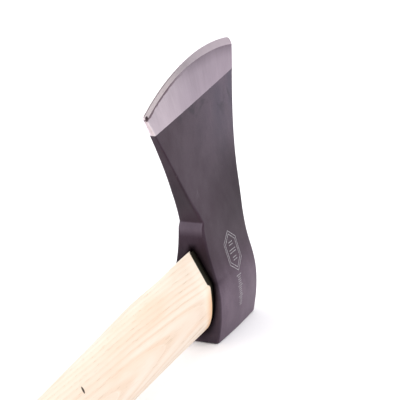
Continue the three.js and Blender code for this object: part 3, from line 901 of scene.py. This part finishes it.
# %% [markdown]
# Round both mouths of the eye the coat is black, partly with soot and oil and partly with painted
# shade next to the wood. It could be a decal, but it has to follow the eye, so its reach is measured
# from the eye's outline: from the two straight flanks above, and from an oval below. Black metal
# throws back next to nothing, so the soot and the painted shade count as metal.

# %% Soot and painted shade round the eye, and the whole surface
SOOT_SHADE_HEEL, SOOT_SHADE_TOE, SOOT_SHADE_FULL, SOOT_SHADE_STRAY = 5.4, 3.5, 0.5, 1.5  # mm out from the eye
SOOT_SHADE_ENDS_BESIDE = (18.2, 16.5)  # it stays off the cheeks
SOOT_SHADE_ROUGH = 0.75
FLANK_RUN = np.hypot(EYE_TOP - EYE_WIDEST, EYE_WIDTH)
FLANK_Y, FLANK_Z = (EYE_TOP - EYE_WIDEST) / FLANK_RUN, EYE_WIDTH / FLANK_RUN

# soot and oil round both mouths of the eye, with painted shade next to the wood
above_eye = f.minus(f.z, EYE_TOP * MM)
from_flank = f.plus(f.times(beside, FLANK_Y), f.times(above_eye, FLANK_Z))
oval_y = f.math("DIVIDE", beside, EYE_WIDTH * MM)
oval_z = f.math("DIVIDE", f.minus(f.z, EYE_WIDEST * MM), (EYE_WIDEST - EYE_LOW) * MM)
from_oval = f.times(f.minus(f.length(oval_y, oval_z), 1.0), EYE_WIDTH * MM)
from_eye = f.math("MAXIMUM", f.math("MAXIMUM", from_flank, from_oval), above_eye)
from_eye = f.plus(from_eye, f.linear(cloud, 2 * SOOT_SHADE_STRAY * MM, -SOOT_SHADE_STRAY * MM))
soot_shade_reach = f.ramp_mm(f.x, (-EYE_HALF, EYE_HALF), SOOT_SHADE_HEEL * MM, SOOT_SHADE_TOE * MM)
soot_and_shade = f.times(f.ramp(from_eye, soot_shade_reach, SOOT_SHADE_FULL * MM), f.ramp_mm(beside, SOOT_SHADE_ENDS_BESIDE))

coat_relief = f.bump(forge_marks, 0.10, f.bump(speck, 0.012))
ground_relief = f.bump(streaks, 0.012, f.bump(fine_streaks, 0.006))
relief = f.add("ShaderNodeMix", {"data_type": "VECTOR"}, i0=is_ground, i4=coat_relief, i5=ground_relief)
ground_rough = f.linear(streaks, 0.12, 0.26)
f.surface(
    Base_Color=f.mix(soot_and_shade, f.mix(is_ground, coat_colour, ground_colour), SOOT_AND_SHADE_COLOUR),
    Metallic=f.math("MAXIMUM", is_ground, soot_and_shade),
    Roughness=f.blend(soot_and_shade, f.blend(is_ground, coat_rough, ground_rough), SOOT_SHADE_ROUGH),
    Normal=relief.outputs[1],
    Specular_Tint=COAT_SHINE,
    IOR=COAT_IOR,
)
STEEL.cover(head)
print("steel nodes:", len(STEEL.tree.nodes))

# %% [markdown]
# The laser leaves the mark's lines pale and rough, with a fine grain. The ring wedge was turned on a
# lathe: its finish has fine circles round its own axis, and it has dulled unevenly.

# %% The mark's and the ring's finish
ETCHED_DARK, ETCHED_PALE = (0.20, 0.185, 0.20, 1), (0.38, 0.36, 0.38, 1)
DULLED, TURNED_BRIGHT = (0.34, 0.33, 0.34, 1), (0.56, 0.55, 0.57, 1)
ETCHED = Finish("etched_line")
grain = ETCHED.noise((1500, 1500, 1500), 2)
ETCHED.surface(
    Base_Color=ETCHED.mix(ETCHED.ramp(grain, 0.35, 0.65), ETCHED_DARK, ETCHED_PALE),
    Metallic=0.3,
    Roughness=ETCHED.linear(grain, 0.2, 0.5),
)
ETCHED.cover(mark)

TURNED = Finish("turned_steel")
f = TURNED
ring_radius = f.length(f.minus(f.z, RING_HEIGHT * MM), f.y)
lathe_lines = f.noise((1800, 9000, 1), 2, f.point(f.x, ring_radius, 0.0))
dullness = f.noise((300, 300, 300), 4)
f.surface(
    Base_Color=f.mix(f.ramp(dullness, 0.4, 0.65), DULLED, TURNED_BRIGHT),
    Metallic=1.0,
    Roughness=f.linear(dullness, 0.3, 0.22),
    Normal=f.bump(lathe_lines, 0.02),
)
TURNED.cover(ring)
print("nodes of the mark and the ring:", len(ETCHED.tree.nodes), len(TURNED.tree.nodes))

# %% [markdown]
# ## Wood
# Ash is ring-porous: each year starts with a band of large open pores and ends in dense pale wood. On a
# haft the years run nearly straight along its length, so they show as long lines, and as arches where the
# surface slants through them. Lines could be drawn on each side, but they would not meet at the ends. So
# the whole pattern is a solid texture: distance from the tree's pith, which lies outside the haft,
# divided into years, with pores as noise drawn out along the grain. Cutting through a solid texture gives
# lines on the sides and rings on the ends by itself.


# %% Ring-porous wood as a finish
# shares of a year between which the early wood comes and goes, and the late wood comes
EARLY_COMES, EARLY_GOES, LATE_COMES = (0.0, 0.06), (0.46, 0.14), (0.72, 0.97)
PATCH_SHARE, LATE_SHARE, FIBRE_SHARE, PORE_SHARE, FLECK_SHARE = 0.4, 0.30, 0.22, 0.5, 0.2
GRAIN_DEPTH = 0.04  # mm


def wood(name, pith, year, wander, slope, lean, colours, sapwood):
    """Years are the distance in (y, z) from the pith, bent by slow noise along the grain, over year.

    The pith's line falls by slope towards -X, and the years lean in by lean towards it. The colours are
    pale, tan, deep and the sapwood's, which the pale turns into between two distances from the pith.
    Lengths are in millimetres."""
    f = Finish(name)
    pale, tan, deep, sap = colours
    grain_z = f.linear(f.x, -slope, f.z)
    bend_y = f.linear(f.noise((4.0, 12, 12), 2), wander * MM, -wander * MM / 2)
    bend_z = f.linear(f.noise((3.4, 12, 12), 2, f.point(f.z, f.x, f.y)), wander * MM, -wander * MM / 2)
    dy = f.plus(f.minus(f.y, pith[0] * MM), bend_y)
    dz = f.plus(f.minus(grain_z, pith[1] * MM), bend_z)
    run = f.length(dy, dz)
    season = f.math("FRACT", f.math("DIVIDE", f.linear(f.x, lean, run), year * MM))
    early = f.times(f.ramp(season, *EARLY_COMES), f.ramp(season, *EARLY_GOES))
    late = f.ramp(season, *LATE_COMES)
    pores = f.ramp(f.noise((70, 2600, 2600), 2, rough=0.4), 0.60, 0.68)
    flecks = f.ramp(f.noise((55, 1500, 1500), 1), 0.66, 0.72)
    open_pores = f.times(pores, f.linear(early, 0.9, 0.1))
    fibres = f.noise((18, 1900, 1900), 3, rough=0.6)
    patches = f.noise((9, 60, 60), 3)
    base = f.mix(f.ramp_mm(run, sapwood), pale, sap)
    colour = f.mix(f.times(f.ramp(patches, 0.35, 0.7), PATCH_SHARE), base, tan)
    heart = f.ramp_mm(run, sapwood[::-1], 0.42, 0.85)
    uneven = f.times(heart, f.ramp(f.noise((7, 45, 45), 3, rough=0.6), 0.30, 0.65, 0.45, 1.0))
    colour = f.mix(f.times(early, uneven), colour, tan)
    colour = f.mix(f.times(late, LATE_SHARE), colour, tan)
    colour = f.mix(f.times(f.ramp(fibres, 0.45, 0.75), FIBRE_SHARE), colour, tan)
    colour = f.mix(f.times(open_pores, PORE_SHARE), colour, deep)
    colour = f.mix(f.times(flecks, FLECK_SHARE), colour, deep)
    f.surface(
        Base_Color=colour,
        Roughness=f.linear(open_pores, 0.2, 0.50),
        Normal=f.bump(f.minus(fibres, open_pores), GRAIN_DEPTH),
    )
    return f, colour


ASH_PALE, ASH_TAN = (0.755, 0.655, 0.558, 1), (0.675, 0.520, 0.388, 1)
ASH_DEEP, ASH_SAP = (0.46, 0.32, 0.20, 1), (0.738, 0.665, 0.568, 1)
BEECH_PALE, BEECH_TAN = (0.62, 0.42, 0.26, 1), (0.50, 0.30, 0.17, 1)
BEECH_DEEP, BEECH_SAP = (0.30, 0.16, 0.08, 1), (0.60, 0.42, 0.27, 1)
ASH, ash_colour = wood(
    "oiled_ash", pith=(-46, 35), year=2.8, wander=6, slope=0.06, lean=0.05,
    colours=(ASH_PALE, ASH_TAN, ASH_DEEP, ASH_SAP), sapwood=(36, 56),
)
BEECH, _ = wood(
    "bare_beech", pith=(-30, 12), year=2.2, wander=2, slope=0.0, lean=0.02,
    colours=(BEECH_PALE, BEECH_TAN, BEECH_DEEP, BEECH_SAP), sapwood=(30, 60),
)
print("wood nodes:", len(ASH.tree.nodes), len(BEECH.tree.nodes))

# %% [markdown]
# A real haft has a history. This one has a small dark knot and warm patches. Near the shoulder the
# wood is painted paler, painted light that lifts the shade of the head, and its lower edge there is
# painted orange-brown as painted shade. The joint between the shoulder and the steel is dark with oil
# and with painted shade, and it steps back where the splinter is missing. Each could be painted by
# hand. Here each is a mask by place, laid over the ash, so it stays where it belongs if the wood's
# pattern is changed.

# %% The haft's own marks, and painted light and shade by the head
# pairs and shares are as on the steel
KNOT_X, KNOT_Z, KNOT_LONG, KNOT_TALL = -185.0, 43.5, 0.8, 2.0  # its middle and its half sizes
KNOT_SIDE, NEAR_FLANK = (0, -4), (0.2, -0.2)  # across the haft, towards the near side
OUTSIDE_X, PAINTED_LIGHT_X = (-31.2, -33.0), (-50, -36)
EDGE_SHADE_X, EDGE_SHADE_Z = (-42.5, -34.0), (50, 30)
JOINT_X, JOINT_ENDS = (-33.1, -32.8), (-27, -28)  # its outer side, and how far it goes into the eye
WARM, PAINTED_LIGHT_NEAR_HEAD, EDGE_SHADE_COLOUR = (0.74, 0.51, 0.36, 1), (0.92, 0.82, 0.70, 1), (0.80, 0.50, 0.28, 1)
JOINT_STAIN_AND_SHADE, KNOT_DARK = (0.018, 0.016, 0.010, 1), (0.035, 0.018, 0.010, 1)
WARM_SHARE, PAINTED_LIGHT_SHARE, EDGE_SHADE_SHARE, JOINT_SHADE_SHARE, JOINT_SHADE_METAL = 0.45, 0.5, 0.8, 0.97, 0.7

f = ASH
outside = f.ramp_mm(f.x, OUTSIDE_X)
# painted light: the wood is paler near the shoulder, to lift the shade of the head
fresh = f.times(f.ramp_mm(f.x, PAINTED_LIGHT_X), outside)
ash_colour = f.mix(f.times(fresh, PAINTED_LIGHT_SHARE), ash_colour, PAINTED_LIGHT_NEAR_HEAD)
warm = f.ramp(f.noise((14, 75, 75), 3, rough=0.55), 0.50, 0.72)
ash_colour = f.mix(f.times(warm, WARM_SHARE), ash_colour, WARM)
# painted shade: the lower edge by the shoulder is orange-brown
painted_edge_shade = f.times(f.ramp_mm(f.x, EDGE_SHADE_X), f.ramp_mm(f.z, EDGE_SHADE_Z), outside)
ash_colour = f.mix(f.times(painted_edge_shade, EDGE_SHADE_SHARE), ash_colour, EDGE_SHADE_COLOUR)
# the joint by the steel: dark with oil and with painted shade of the gap, as metal it throws back little
split = f.times(f.ramp_mm(f.z, SPLIT_STEP), f.ramp_mm(f.y, NEAR_FLANK))
joint_x = f.linear(split, SPLIT_DEPTH * MM, f.x)
stained_and_shaded_joint = f.times(f.ramp_mm(joint_x, JOINT_X), f.ramp_mm(f.x, JOINT_ENDS))
ash_colour = f.mix(f.times(stained_and_shaded_joint, JOINT_SHADE_SHARE), ash_colour, JOINT_STAIN_AND_SHADE)
knot_x = f.math("DIVIDE", f.minus(f.x, KNOT_X * MM), KNOT_LONG * MM)
knot_z = f.math("DIVIDE", f.minus(f.z, KNOT_Z * MM), KNOT_TALL * MM)
knot = f.plus(f.times(knot_x, knot_x), f.times(knot_z, knot_z))
is_knot = f.times(f.ramp(knot, 1.3, 0.6), f.ramp_mm(f.y, KNOT_SIDE))
f.surface(Base_Color=f.mix(is_knot, ash_colour, KNOT_DARK), Metallic=f.times(stained_and_shaded_joint, JOINT_SHADE_METAL))

ASH.cover(haft)
BEECH.cover(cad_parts["wooden_wedge"])
print("ash nodes with its marks:", len(ASH.tree.nodes))

# %% [markdown]
# ## Joining the pieces to the frame
# Nothing on an axe moves, so every piece rides on the one body. Each says which engineering solid it
# stands for, and that solid is hidden.

# %% Ride and replace
for piece, solid, finish in (
    (head, "axe_head", "coated_steel"),
    (haft, "haft", "ash"),
    (ring, "ring_wedge", "bare_steel"),
    (mark, None, "coated_steel"),
):
    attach(piece, "root")
    if solid:
        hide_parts(solid)
    print(piece.name, "rides on root and stands for", solid or "nothing in the frame")

# %% [markdown]
# ## Floor, light and camera
# The axe stands on a pale seamless floor in a bright studio. A high key light on the near side shows the
# cheek and the wood, and leaves the face under the heel in shade. The sky lights the rest softly. It
# could be a panorama of a studio, but a brightness worked out from the direction needs no file.

# %% Floor and lights
FLOOR_HALF, FLOOR_DROP = 6.0, 0.0002  # metres; the floor is a hair below the poll
PAPER_DARK, PAPER_PALE = (0.93, 0.93, 0.95, 1), (0.96, 0.96, 0.97, 1)
SKY_COLOUR = (1.0, 0.985, 1.0, 1)
SKY_SIDE = (-0.6, 0.8, 0.0)  # the horizon brightens towards here
SKY_NEAR, SKY_FAR, SKY_HIGH, SKY_FULL_HEIGHT = 0.15, 1.3, 1.12, 0.6
SEEN_STRENGTH = 1.0  # the backdrop, where the camera looks straight at the sky
corners = np.array([(-1, -1, 0), (1, -1, 0), (1, 1, 0), (-1, 1, 0)]) * FLOOR_HALF / MM
floor = mesh_object("floor", corners, [[0, 1, 2, 3]])
floor.location.z = -FLOOR_DROP
PAPER = Finish("pale_floor")
PAPER.surface(
    Base_Color=PAPER.mix(PAPER.noise((300, 300, 300), 3), PAPER_DARK, PAPER_PALE),
    Roughness=0.9,
)
PAPER.cover(floor)

world = bpy.data.worlds.new("studio")
bpy.context.scene.world = world
world.use_nodes = True
tree = world.node_tree
sky = tree.nodes["Background"]
sky.inputs["Color"].default_value = SKY_COLOUR


def world_node(kind, *inputs):
    """A node of the sky, with its inputs in order."""
    node = tree.nodes.new(kind)
    for socket, value in zip(node.inputs, inputs):
        if isinstance(value, bpy.types.NodeSocket):
            tree.links.new(value, socket)
        else:
            socket.default_value = value
    return node


toward = world_node("ShaderNodeTexCoord").outputs["Generated"]
height = world_node("ShaderNodeSeparateXYZ", toward).outputs["Z"]
aside = world_node("ShaderNodeVectorMath", toward, SKY_SIDE)
aside.operation = "DOT_PRODUCT"
low = world_node("ShaderNodeMapRange", aside.outputs["Value"], -1.0, 1.0, SKY_NEAR, SKY_FAR).outputs[0]
glow = world_node("ShaderNodeMapRange", height, 0.0, SKY_FULL_HEIGHT, low, SKY_HIGH).outputs[0]
seen = world_node("ShaderNodeLightPath").outputs["Is Camera Ray"]
strength = world_node("ShaderNodeMix", seen, (0, 0, 0), glow, SEEN_STRENGTH).outputs[0]
tree.links.new(strength, sky.inputs["Strength"])


def soft_light(name, place, target, size, power):
    """A square area light at place that faces target."""
    lamp = bpy.data.lights.new(name, "AREA")
    lamp.shape, lamp.size, lamp.energy = "SQUARE", size, power
    obj = bpy.data.objects.new(name, lamp)
    obj.location = place
    obj.rotation_euler = (Vector(target) - Vector(place)).to_track_quat("-Z", "Y").to_euler()
    bpy.context.scene.collection.objects.link(obj)


AIM = (-0.05, 0.0, 0.08)
soft_light("key", (0.1, -1.4, 1.2), AIM, size=1.4, power=16)
soft_light("top", (-0.3, 0.9, 1.6), AIM, size=1.2, power=10)

# %% [markdown]
# The camera looks along the haft from a little above it and from the near side, with a long lens, and it
# is rolled by a few degrees. It could be turned by hand in the viewport. Three axes worked out from where
# it stands and what it looks at put it in the same place every time.

# %% The camera
CAMERA_PLACE = Vector((-0.7042, -0.36726, 0.35885))
CAMERA_TARGET = Vector((-0.0030, 0.00554, 0.08978))
CAMERA_ROLL = np.radians(-4.945)
CAMERA_LENS, SENSOR_WIDTH = 114.84, 36.0  # mm
NEAREST, FARTHEST = 0.01, 50.0
camera = bpy.data.cameras.new("camera")
camera.lens, camera.sensor_width = CAMERA_LENS, SENSOR_WIDTH
camera.clip_start, camera.clip_end = NEAREST, FARTHEST
viewer = bpy.data.objects.new("camera", camera)
back_axis = (CAMERA_PLACE - CAMERA_TARGET).normalized()
right_axis = Vector((0, 0, 1)).cross(back_axis).normalized()
up_axis = back_axis.cross(right_axis)
facing = Matrix((right_axis, up_axis, back_axis)).transposed().to_4x4()
viewer.matrix_world = Matrix.Translation(CAMERA_PLACE) @ facing @ Matrix.Rotation(CAMERA_ROLL, 4, "Z")
bpy.context.scene.collection.objects.link(viewer)
bpy.context.scene.camera = viewer
bpy.context.scene.view_settings.view_transform = "Standard"
print("the camera is this far away, m:", round((CAMERA_PLACE - CAMERA_TARGET).length, 3))
